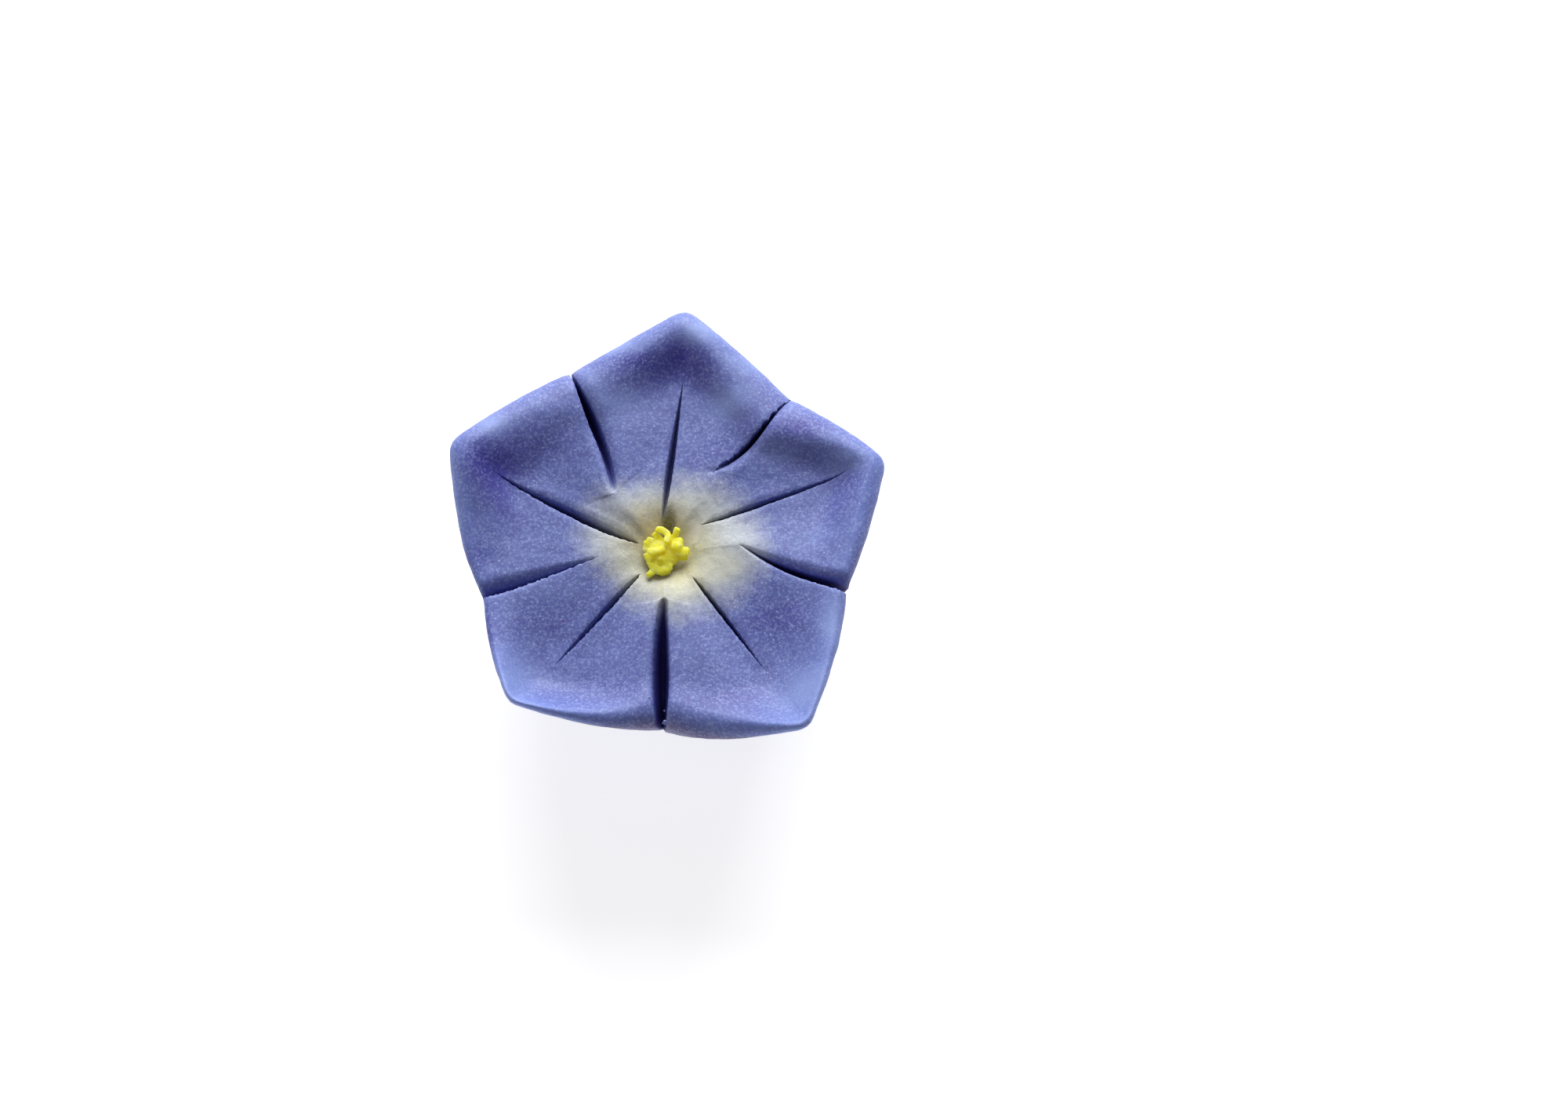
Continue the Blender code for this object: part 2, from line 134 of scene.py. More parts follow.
# Heights of the top.
HEART_HEIGHT = 23.0  # the shoulder round the heart
TIP_PEAK = 2.8  # how sharply the crest climbs towards a tip
TIP_SOFTNESS = 0.16  # how far round the tip the crest is level
PIT_DEPTH = 2.3
PIT_REACH = 3.7
PIT_STEEPNESS = 3.0

# The rim and the side below it.
CREST_SOFTENING = 22  # passes of smoothing over the crest
FOOT_REACH = 15.0  # radius of the flat underside
SIDE_TAPER = 1.8  # 1 is a round side, and 2 is a straight taper
SIDE_TOP = 15.0  # above this height, dents and patches belong to the top
TEAR_WIDTH = 0.7  # how far from a cut's edge it is ragged, in half widths
TEAR_LENGTH = 0.33  # the ragged edge's teeth
LUMP_SIZE = 3.1  # of the uneven skin

# Small hollows in the top, each with its middle, its radii and its depth.
Dent = namedtuple("Dent", "x y x_radius y_radius depth")
DENTS = (
    Dent(0.3, 2.6, 0.9, 1.8, 1.3),  # behind the tuft
    Dent(9.7, 16.4, 1.1, 0.7, 0.12),  # a finger's mark
    Dent(5.6, 9.9, 0.7, 0.35, 0.18),  # beside the back right seam's end
)

# Soft patches of painted shade and painted light on the petals, each with its middle, its radii, and
# its dye: over 0 it is painted shade, and under 0 painted light.
ShadeLightPatch = namedtuple("ShadeLightPatch", "x y x_radius y_radius dye")
SHADE_AND_LIGHT_PATCHES = (
    (12.8, -8.5, 4.6, 3.4, 0.50),
    (-13.4, -8.5, 5.0, 3.5, 0.30),
    (-3.6, 23.4, 3.6, 1.5, 0.90),
    (4.0, 22.8, 2.0, 1.5, 0.55),
    (16.2, 15.3, 3.2, 1.4, 0.95),
    (-22.0, 10.4, 2.0, 2.3, 1.05),
    (-21.8, -1.0, 1.8, 1.8, 0.60),
    (-21.0, -10.5, 1.6, 3.2, 0.60),
    (6.6, 12.6, 2.4, 1.8, 0.50),
    (-13.4, 12.6, 3.0, 2.4, 0.28),
    (7.8, -18.2, 5.0, 1.7, 0.50),
    (-9.2, -17.3, 4.6, 1.6, 0.28),
    (22.6, 6.3, 1.5, 2.6, 0.05),
    (16.9, -17.6, 3.2, 2.9, -1.15),
    (19.8, -9.6, 1.7, 3.8, -0.85),
    (-5.5, 18.4, 3.5, 2.0, -0.50),
    (-9.4, 21.4, 1.6, 1.6, -0.40),
    (7.2, 18.3, 2.6, 1.9, -0.90),
    (14.2, 12.4, 3.4, 1.2, -0.40),
    (20.8, 10.9, 2.4, 1.3, -0.60),
    (3.8, 26.8, 2.0, 1.4, -1.30),
    (9.2, 23.2, 3.0, 1.6, -0.60),
    (-5.6, 25.2, 3.5, 1.1, -0.85),
    (-17.6, 16.3, 2.4, 1.0, -0.15),
    (-20.9, 15.0, 1.6, 1.3, -0.90),
    (-17.2, -16.0, 2.0, 3.4, -0.70),
    (-12.8, -15.0, 2.5, 1.6, -0.25),
    (18.7, 1.3, 3.0, 1.6, -0.20),
    (-14.0, -4.4, 4.0, 1.5, -0.25),
)

# Where the pale heart reaches further, or less far: the direction, and how much.
HEART_LOBES = ((98, -1.4), (-46, -1.5), (153, 1.1))

# Soft spots of painted shade and painted light in the heart's dough, each with its middle, its radii,
# how far out it fades, in radii squared, and its colour and strength.
Spot = namedtuple("Spot", "x y x_radius y_radius fade colour strength")
HEART_SPOTS = (
    Spot(0.4, 3.7, 0.9, 2.1, 1.7, (0.16, 0.155, 0.08), 0.80),  # the shade behind the tuft
    Spot(-6.6, 4.1, 3.2, 1.3, 1.6, (0.27, 0.29, 0.33), 0.40),  # painted shade on the left
    Spot(6.4, -1.9, 2.8, 2.0, 1.6, (0.74, 0.73, 0.58), 0.60),  # painted light on the right
    # more painted light, just right of the tuft
    Spot(3.1, 2.5, 1.2, 1.3, 1.6, (0.80, 0.77, 0.62), 0.85),
)

# Colours of the places that the mesh marks, and of what lies in and on the dough.
# Painted highlight where the rim turns over.
TURNED_RIM_HIGHLIGHT = (0.38, 0.46, 0.86)
# Painted light of the paler patches.
PATCH_LIGHT_COLOUR = (0.25, 0.32, 0.64)
# Painted shade in the cuts and on the lips that roll into them.
CUT_SHADE_COLOUR = (0.026, 0.018, 0.22)
OUTER_CREAM = (0.47, 0.50, 0.53)
WARM_CREAM = (0.60, 0.56, 0.31)
CREAM_GRAIN = (0.74, 0.75, 0.66)
MAGENTA = (0.22, 0.01, 0.20)

# Specks of magenta dye on the dough, each with its middle, its radius and its strength.
Fleck = namedtuple("Fleck", "x y radius strength")
FLECKS = (
    Fleck(-11.96, -8.5, 0.2, 0.9),
    Fleck(4.1, -12.3, 0.14, 0.45),
    Fleck(6.4, -18.9, 0.14, 0.4),
    Fleck(12.3, 17.6, 0.16, 0.35),
)

# Loose crumbs beside the front seam, each with its place and its radius.
Crumb = namedtuple("Crumb", "x y radius")
CRUMBS = (Crumb(0.25, -20.5, 0.27), Crumb(0.02, -18.3, 0.13), Crumb(-1.65, -18.3, 0.11))
CRUMB_PALENESS = 1.9  # on the same scale as the rim's

# The painted highlight along the rim, seen from above: a paler band that stands in for the rim's sheen
# and the light through its thin dough.
RIM_WIDTH = 4.0
BACK_RIM = 0.30  # how strong the painted highlight is at the back, where 1 is as strong as at the front
TIP_RIM = 0.6  # how much stronger the painted highlight is where the rim turns over at a tip

# The shape of a cut.
CUT_END_WIDTH = 0.10  # width at a cut's end, as a share of its widest
SEAM_OPENINGS = (0.45, 0.25, 0.24, 0.7, 0.33)  # how early each seam opens: under 1 is sooner
SEAM_DEEPENINGS = (1.2, 0.9, 0.75, 1.2, 0.8)  # how late it deepens: over 1 is later
VEIN_SWELLING = 0.62  # under 1 sets a vein's widest place nearer the heart
CUT_WALL = 1.0  # 1 is a plain V, and more is steeper walls
SEAM_RUN_OUT = 1.8  # how fast a seam's floor reaches the side

# How finely the dough is divided. Across a cut, the columns stand at these half widths from its middle.
CUT_COLUMNS = (0.25, 0.5, 0.75, 0.9, 1.0, 1.2, 1.6, 2.2)
CUT_SPREAD = CUT_COLUMNS[-1]
PETAL_COLUMNS = 30
TOP_RINGS = 92
EDGE_RINGS = 18
SIDE_RINGS = 40
FOOT_RINGS = 5

# The tuft's strands run from root to end, bowed aside by bow. flatness is thickness over width.
Strand = namedtuple("Strand", "root end width bow flatness")
STRANDS = (
    ((0.5, 1.9, 22.9), (-1.1, 2.8, 22.8), 0.86, -0.12, 0.75),  # the hook across the back
    ((0.5, 2.1, 22.9), (0.2, 0.7, 23.4), 0.78, -0.10, 0.80),  # its bent end
    ((0.2, 0.6, 22.0), (0.5, 1.8, 22.6), 0.90, 0.0, 0.90),  # and its root
    ((0.9, 1.3, 22.2), (1.5, 2.8, 23.1), 0.86, 0.0, 0.80),  # the stub behind
    ((0.7, 0.8, 22.5), (2.1, 1.0, 22.8), 1.50, 0.0, 0.60),  # the nugget on the right
    ((0.7, 0.7, 22.8), (1.9, 0.4, 23.0), 1.10, 0.0, 0.65),
    ((0.9, 0.1, 22.3), (2.8, -0.1, 22.7), 1.15, 0.0, 0.60),  # the block on the right
    ((0.7, -0.4, 21.8), (2.7, -0.5, 22.2), 1.05, 0.0, 0.70),
    ((-0.3, 1.5, 22.0), (-1.5, 2.3, 22.4), 0.76, 0.0, 0.70),  # five fingers on the left
    ((-0.5, 1.0, 22.1), (-2.2, 1.6, 22.5), 0.78, 0.0, 0.65),
    ((-0.8, 0.7, 22.2), (-2.6, 1.1, 22.4), 0.76, 0.0, 0.65),
    ((-1.0, 0.3, 22.1), (-2.7, 0.5, 22.3), 0.78, 0.0, 0.65),
    ((-1.2, -0.2, 22.0), (-2.5, -0.6, 22.2), 1.00, 0.0, 0.65),
    ((0.0, 0.3, 23.0), (-2.1, -0.3, 23.3), 1.00, 0.12, 0.45),  # the leaf on top
    ((-0.5, -0.5, 22.4), (-0.5, -1.3, 22.7), 0.90, 0.0, 0.90),  # the bead on top
    ((-1.8, -1.1, 22.3), (0.8, -1.5, 22.2), 1.35, 0.0, 0.55),  # the shelf in front
    ((-2.0, -1.5, 22.4), (0.9, -1.7, 22.2), 1.10, -0.70, 0.60),  # the crescent round it
    ((-1.6, -2.0, 22.0), (0.7, -2.1, 21.9), 0.95, -0.35, 0.60),
    ((-0.9, -2.0, 22.1), (-2.1, -3.0, 22.4), 0.80, 0.0, 0.80),  # the stub in front
    ((-1.6, 0.1, 22.1), (-1.8, -1.6, 22.2), 1.10, 0.0, 0.60),
    ((0.1, -0.6, 21.5), (1.2, -0.8, 21.6), 0.95, 0.0, 0.70),
)
CORE_CENTRE = (-0.2, 0.0, 22.0)
CORE_RADII = (2.1, 1.9, 0.85)
STRAND_TAPER = 0.15  # how much thinner a strand's root is
STRAND_BLUNTNESS = 0.18  # under 1 keeps a strand full until near its ends
STRAND_SQUARENESS = 0.62  # under 1 makes a strand's section boxy
STRAND_SIDES = 24
STRAND_RINGS = 32

# The camera stands in front and looks down. Its aim is level with the heart.
CAMERA_ELEVATION = 72
CAMERA_PLACE = (14.13, -136.41, 441.21)
CAMERA_LENS = 85.0


def colour(name, description, default):
    """A colour that the user can change."""
    return FloatVectorProperty(
        name=name, description=description, default=default, min=0.0, max=1.0, subtype="COLOR"
    )


def amount(name, description, default, unit="NONE", least=0.0):
    """A number that the user can change."""
    return FloatProperty(name=name, description=description, default=default, min=least, unit=unit)


class BellflowerPetals(bpy.types.PropertyGroup):
    petal_colour: colour("Petals", "Colour of the petals' dough", (0.13, 0.168, 0.43))
    violet_colour: colour("Violet", "Colour of the petals where dye has gathered", (0.11, 0.115, 0.36))
    grain_colour: colour("Grains", "Colour of the pale grains in the petals' dough", (0.33, 0.40, 0.70))
    # Painted highlight along the rim, standing in for its sheen and the light through its thin dough.
    rim_highlight_colour: colour(
        "Rim", "Colour of the thin dough at the rim, which light passes through", (0.20, 0.29, 0.74)
    )
    # Painted shade: a darker violet on the inner walls under the back tips, where the light from behind
    # does not reach.
    tip_wall_shade_colour: colour("Tip wall shade", "Colour of the painted shade on the inner walls under the back tips", (0.058, 0.046, 0.33))
    # Painted shade of the patches.
    patch_shading_colour: colour("Dye", "Colour of the darkest painted shade in the patches", (0.044, 0.038, 0.28))
    # Painted shade on the side below the rim, which faces away from the light.
    side_shading_colour: colour("Side", "Colour of the dough's side below the rim", (0.105, 0.078, 0.21))
    heart_colour: colour("Heart", "Colour of the dough round the heart", (0.52, 0.51, 0.39))
    # Painted bounce light from the yellow strands, on the pit's back left wall.
    pit_bounce_light_colour: colour("Pit", "Colour of the painted bounce light beside the strands", (0.62, 0.53, 0.29))
    shade_cream: colour("Heart mottling", "Colour of the darker patches in the heart", (0.34, 0.35, 0.32))
    heart_reach: amount(
        "Heart reach", "Average distance from the middle to where the pale heart ends", 9.3 * MM, "LENGTH"
    )
    heart_fade: amount(
        "Heart fade", "Width over which the pale heart turns blue", 5.6 * MM, "LENGTH", least=0.1 * MM
    )
    grain_size: amount(
        "Grain", "Size of the pale grains in the dough", 0.35 * MM, "LENGTH", least=0.05 * MM
    )
    relief: amount("Relief", "Height of the uneven skin that fingers leave", 0.09 * MM, "LENGTH")


class BellflowerStamens(bpy.types.PropertyGroup):
    strand_colour: colour("Strands", "Colour of the sieved strands", (0.92, 0.79, 0.05))
    pale_colour: colour("Pale strands", "Colour of the strands' paler patches", (0.90, 0.86, 0.28))
    deep_colour: colour("Deep strands", "Colour of the strands' deeper patches", (0.82, 0.68, 0.04))
    fusing: amount(
        "Fusing", "Size of the cells that fuse the strands together", 0.07 * MM, "LENGTH", least=0.03 * MM
    )
    raggedness: amount(
        "Raggedness", "Height of the rough skin that the sieve leaves on a strand", 0.07 * MM, "LENGTH"
    )


class BellflowerCrumbs(bpy.types.PropertyGroup):
    seed: IntProperty(name="Seed", description="Start of the crumbs' noise", default=4, min=0)
    lumpiness: amount("Lumpiness", "How far a crumb is from round", 0.6)


class BellflowerStage(bpy.types.PropertyGroup):
    floor_colour: colour("Floor", "Colour of the floor", (0.60, 0.60, 0.60))
    floor_size: amount("Floor size", "Width of the floor", 4.0, "LENGTH", least=0.1)
    key_power: amount("Back light", "Power of the large soft light behind the sweet", 6.3, "POWER")
    fill_power: amount("Left light", "Power of the weak light to the left of the sweet", 0.55, "POWER")
    ambient: amount("Ambient", "Strength of the light from all round", 0.16)
    floor_glow: amount(
        "Floor glow", "Strength of the light that the floor itself gives, which weakens the shadow", 0.75
    )


def mix(first, second, share):
    return first + (second - first) * share


def smooth_step(value):
    """0 below 0, 1 above 1, and a smooth rise between."""
    value = np.clip(value, 0.0, 1.0)
    return value * value * (3 - 2 * value)


def polar(reach, angle, height):
    """Points from arrays of reaches, angles in radians and heights."""
    return np.stack([reach * np.cos(angle), reach * np.sin(angle), height], axis=-1)


def away_from(spot, x, y, unit=1.0):
    """How far places lie from the middle of a dent, patch or spot, in its radii squared."""
    across = (x - spot.x * unit) / (spot.x_radius * unit)
    onward = (y - spot.y * unit) / (spot.y_radius * unit)
    return across**2.0 + onward**2.0


class Signal:
    """An output socket of a shader tree. Arithmetic on it adds Math nodes."""

    def __init__(self, shader, socket):
        self.shader = shader
        self.socket = socket

    def _math(self, operation, *operands):
        return self.shader.add("ShaderNodeMath", {"operation": operation}, dict(enumerate(operands)))

    def __add__(self, other):
        return self._math("ADD", self, other)

    def __radd__(self, other):
        return self._math("ADD", other, self)

    def __sub__(self, other):
        return self._math("SUBTRACT", self, other)

    def __rsub__(self, other):
        return self._math("SUBTRACT", other, self)

    def __mul__(self, other):
        return self._math("MULTIPLY", self, other)

    def __rmul__(self, other):
        return self._math("MULTIPLY", other, self)

    def __truediv__(self, other):
        return self._math("DIVIDE", self, other)

    def __pow__(self, other):
        return self._math("POWER", self, other)

    def cosine(self):
        return self._math("COSINE", self)

    def clamped(self):
        return self.shader.add("ShaderNodeClamp", {}, {"Value": self})

    def direction_to(self, other):
        """The angle of the point (other, self) from +X."""
        return self._math("ARCTAN2", self, other)

    def step_between(self, low, high):
        """0 below low and 1 above high, or the other way where low is the greater."""
        settings = {"interpolation_type": "SMOOTHSTEP"}
        return self.shader.add(
            "ShaderNodeMapRange", settings, {"Value": self, "From Min": low, "From Max": high}
        )

    def output(self, name):
        """Another output of the same node."""
        return Signal(self.shader, self.socket.node.outputs[name])


class Shader:
    """A material's tree, built by calls that each add one node."""

    def __init__(self, name):
        self.material = bpy.data.materials.new(name)
        self.material.use_nodes = True
        self.tree = self.material.node_tree
        self.surface = self.tree.nodes["Principled BSDF"]

    def add(self, kind, settings=None, sockets=None):
        """Adds a node, sets it up, fills or links its sockets, and gives its first output."""
        node = self.tree.nodes.new(kind)
        for name, value in (settings or {}).items():
            setattr(node, name, value)
        self.feed(node, sockets or {})
        shown = next(socket for socket in node.outputs if socket.enabled)
        return Signal(self, shown)

    def feed(self, node, sockets):
        """Fills a node's sockets with values, or links signals to them."""
        for name, value in sockets.items():
            socket = node.inputs[name]
            if isinstance(value, Signal):
                self.tree.links.new(value.socket, socket)
            elif socket.type == "RGBA":
                socket.default_value = (*value, 1.0)
            else:
                socket.default_value = value

    def blend(self, first, second, share):
        """Mixes two colours, each a signal or three numbers."""
        node = self.add("ShaderNodeMix", {"data_type": "RGBA"}).socket.node
        named = {"Factor_Float": share, "A_Color": first, "B_Color": second}
        places = {socket.identifier: place for place, socket in enumerate(node.inputs)}
        self.feed(node, {places[name]: value for name, value in named.items()})
        return Signal(self, next(socket for socket in node.outputs if socket.enabled))

    def layers(self, base, *laid):
        """Lays colours over a first one, each with its share."""
        for painted, share in laid:
            base = self.blend(base, painted, share)
        return base

    def noise(self, point, size, detail=2.0, roughness=0.5):
        """Cloudy noise with lumps of about this size, in metres."""
        sockets = {"Vector": point, "Scale": 1 / size, "Detail": detail, "Roughness": roughness}
        return self.add("ShaderNodeTexNoise", {}, sockets)

    def bump(self, height, distance, strength=1.0, under=None):
        sockets = {"Height": height, "Distance": distance, "Strength": strength}
        if under:
            sockets["Normal"] = under
        return self.add("ShaderNodeBump", {}, sockets)

    def finish(self, **sockets):
        """Sets the surface's sockets, whose names have _ for each space, and gives the material."""
        self.feed(self.surface, {name.replace("_", " "): value for name, value in sockets.items()})
        return self.material


def line_angle(line, reach):
    """The directions, in radians, in which a line passes these reaches: a chord, and not a spoke."""
    reach = np.maximum(reach, line.start)
    share = np.minimum(1.0, (1 - line.start / reach) / (1 - line.start / line.rim_reach))
    turned = mix(line.heart_angle, line.rim_angle, share) + line.bow * np.sin(np.pi * share)
    return np.radians(turned)


def corner(line):
    angle = math.radians(line.rim_angle + line.turn)
    return np.array([line.rim_reach * math.cos(angle), line.rim_reach * math.sin(angle)])


def petal_outline():
    """Angles and reaches round the rim: edges that swell between the corners, which are rounded."""
    points = []
    for sector, line in enumerate(LINES):
        here, there = corner(line), corner(LINES[(sector + 1) % len(LINES)])
        outward = np.array([there[1] - here[1], here[0] - there[0]])
        outward /= np.linalg.norm(outward)
        leaves_seam = sector % 2 == 0
        bulge = BULGES[sector // 2][sector % 2]
        for step in range(OUTLINE_STEPS):
            share = step / OUTLINE_STEPS
            from_seam = share if leaves_seam else 1 - share
            swelling = bulge * math.sin(math.pi * from_seam**BULGE_SKEW)
            points.append(mix(here, there, share) + outward * swelling)
    points = np.array(points)
    for _ in range(TIP_ROUNDING):
        points = (np.roll(points, 1, axis=0) + points * 2 + np.roll(points, -1, axis=0)) / 4
    return np.arctan2(points[:, 1], points[:, 0]), np.hypot(points[:, 0], points[:, 1])


OUTLINE = petal_outline()


def rim_reach(angle):
    """The outline's reach in directions given in radians."""
    return np.interp(angle, *OUTLINE, period=FULL_TURN)


def between_corners(rim_angle):
    """The outline's side that each direction meets, and how near its tip."""
    corners = [math.radians(line.rim_angle + line.turn) for line in LINES]
    onward = (rim_angle - corners[0]) % FULL_TURN + corners[0]
    place = np.interp(onward, [*corners, corners[0] + FULL_TURN], np.arange(len(LINES) + 1))
    sector = np.minimum(place.astype(int), len(LINES) - 1)
    return sector, np.where(sector % 2 == 0, place - sector, sector + 1 - place)


def between_forms(sector, tipness):
    """A form part of the way across a sector. The crest climbs late and steeply towards a tip."""
    forms = np.array(FORMS)
    here, there = forms[sector], forms[(sector + 1) % len(LINES)]
    leaves_seam = (sector % 2 == 0)[:, None]
    seam, tip = np.where(leaves_seam, here, there).T, np.where(leaves_seam, there, here).T
    share = smooth_step(tipness ** np.array(HOLDS)[sector])
    rise, wall, flare, inset, drop, _ = mix(seam, tip, share)
    level = 1 - np.hypot(1 - tipness, TIP_SOFTNESS) + TIP_SOFTNESS
    crest = mix(seam[-1], tip[-1], np.maximum(level, 0.0) ** TIP_PEAK)
    return Form(rise, wall, flare, inset, drop, crest)


def top_height(form, share, reach):
    """The top's height at a share of the way out to the crest: a gentle slope from the shoulder round
    the heart, and then the rim's inner wall."""
    climbing = np.clip((share - form.wall) / (1 - form.wall), 0, 1)
    climb = mix(smooth_step(climbing), climbing**2, form.flare)
    pit = PIT_DEPTH * np.exp(-((reach / PIT_REACH) ** PIT_STEEPNESS))
    slope = form.rise * share
    return HEART_HEIGHT + slope + (form.crest - HEART_HEIGHT - form.rise) * climb - pit


def dough_profile(outer, form):
    """Reaches and heights from the heart over the top, round the rim, down the side and across the
    underside, for arrays of columns. Each row of the result is a column."""
    outer = outer[:, None]
    form = Form(*(values[:, None] for values in form))
    crest_reach = outer - form.inset
    widest = form.crest - form.drop
    share = np.linspace(0, 1, TOP_RINGS + 1)[None, :]
    top = share * crest_reach
    turn = np.linspace(0, np.pi / 2, EDGE_RINGS + 1)[None, 1:]
    edge = crest_reach + form.inset * np.sin(turn)
    fall = np.linspace(0, np.pi / 2, SIDE_RINGS + 1)[None, 1:]
    side = FOOT_REACH + (outer - FOOT_REACH) * np.clip(np.cos(fall), 0, 1) ** SIDE_TAPER
    foot = FOOT_REACH * np.linspace(1, 0, FOOT_RINGS + 1)[None, 1:] * np.ones_like(outer)
    reach = np.hstack([top, edge, side, foot])
    height = np.hstack(
        [
            top_height(form, share, top),
            widest + form.drop * np.cos(turn),
            widest * (1 - np.sin(fall) ** SIDE_TAPER),
            np.zeros_like(foot),
        ]
    )
    last = TOP_RINGS + EDGE_RINGS + 3
    for _ in range(CREST_SOFTENING):
        for rows in (reach, height):
            rows[:, 1:last] = (rows[:, : last - 1] + rows[:, 1:last] * 2 + rows[:, 2 : last + 1]) / 4
    return reach, height


def path_length(reach, height):
    """Distance along a profile from its first point to each of its points."""
    steps = np.hypot(np.diff(reach), np.diff(height))
    return np.concatenate([[0.0], np.cumsum(steps)])


# What a line does to the dough at each ring: half its width, and the way down to its floor.
Cut = namedtuple("Cut", "half_width plunge opening")


def make_cut(number):
    """Follows one line along its own column of the dough."""
    line, lip = LINES[number], LIPS[number]
    is_seam = line in SEAMS
    rim_angle = math.radians(line.rim_angle)
    form = FORMS[number]
    outer = rim_reach(np.array([rim_angle]))
    profile = dough_profile(outer, Form(*(np.array([value]) for value in form)))
    reach, height = (rows[0] for rows in profile)
    floor_end = form.crest - line.depth
    share = np.clip((reach - line.start) / (line.stop - line.start), 0, 1)
    on_top = np.arange(len(reach)) <= TOP_RINGS
    if is_seam:
        opening = share ** SEAM_OPENINGS[number // 2]
        deepening = SEAM_DEEPENINGS[number // 2]
        first = int(np.argmax(reach >= line.start))
        floor = mix(height[first], floor_end, share**deepening)
        past_rim = np.arange(len(reach)) > TOP_RINGS + EDGE_RINGS
        last = int(np.argmax(past_rim & (height <= floor)))
        length = path_length(reach, height)
        way = np.clip((length - length[first]) / (length[last] - length[first]), 0, 1)
        floor_reach = line.start + (reach[last] - line.start) * (1 - (1 - way) ** SEAM_RUN_OUT)
        floor_share = np.clip((floor_reach - line.start) / (line.stop - line.start), 0, 1)
        floor_height = mix(height[first], floor_end, floor_share**deepening)
        closing = np.clip((height - height[last]) / (form.crest - height[last]), 0, 1)
        opening = np.where(on_top, opening, opening[TOP_RINGS] * closing)
        inside = (way > 0) & (way < 1)
    else:
        opening = np.where(on_top, np.sin(np.pi * share**VEIN_SWELLING), 0.0)
        floor_reach = reach
        floor_height = height - line.depth * opening
        inside = (share > 0) & (share < 1) & on_top
    surface = polar(reach, line_angle(line, reach), height)
    floor = polar(floor_reach, line_angle(line, floor_reach), floor_height)
    floor += polar(lip.lean * opening, rim_angle + math.pi / 2, np.zeros_like(reach))
    plunge = np.where(inside[:, None], floor - surface, 0.0)
    width = opening * mix(1.0, lip.mouth, smooth_step(share * 2 - 1))
    half_width = line.half_width * mix(CUT_END_WIDTH, 1.0, width)
    return Cut(half_width, plunge, opening)


# Where the dough's columns stand. sector is the space between two lines. The angle is that of the
# first line, plus leaving of its half widths, plus a share of the space between the two cuts' spreads,
# plus arriving of the second line's half widths.
Columns = namedtuple("Columns", "sector leaving share arriving")


def dough_columns():
    rows = []
    for sector in range(len(LINES)):
        rows += [(sector, across, 0.0, 0.0) for across in (0.0, *CUT_COLUMNS)]
        for step in range(1, PETAL_COLUMNS + 1):
            rows.append((sector, CUT_SPREAD, step / (PETAL_COLUMNS + 1), 0.0))
        rows += [(sector, CUT_SPREAD, 1.0, CUT_SPREAD - across) for across in reversed(CUT_COLUMNS)]
    sector, leaving, share, arriving = (np.array(values) for values in zip(*rows))
    return Columns(sector.astype(int), leaving, share, arriving)


def spread_angle(half_width, reach):
    """The angle that half a cut's width takes up at these reaches, held back near the heart."""
    widest = 0.3 * FULL_TURN / len(LINES) / CUT_SPREAD
    return np.minimum(half_width / np.maximum(reach, 0.01), widest)


def surface_normals(points):
    """Unit normals of a grid of points, closed round its first axis."""
    wrapped = np.concatenate([points[-1:], points, points[:1]])
    around = np.gradient(wrapped, axis=0)[1:-1]
    along = np.gradient(points, axis=1)
    normals = np.cross(along, around)
    length = np.linalg.norm(normals, axis=-1, keepdims=True)
    return normals / np.maximum(length, 1e-9)


def along_lines(numbers, reach):
    """The angle of each column's line at that column's reaches."""
    angle = np.empty_like(reach)
    for number, line in enumerate(LINES):
        rows = numbers == number
        angle[rows] = line_angle(line, reach[rows])
    return angle


def between_lines(columns, first, second, first_half, second_half):
    """The columns' angles, from those of the lines on either side and of half their cuts' widths."""
    leaving, share, arriving = (
        values[:, None] for values in (columns.leaving, columns.share, columns.arriving)
    )
    room = second - first - CUT_SPREAD * (first_half + second_half)
    return first + leaving * first_half + share * room + arriving * second_half


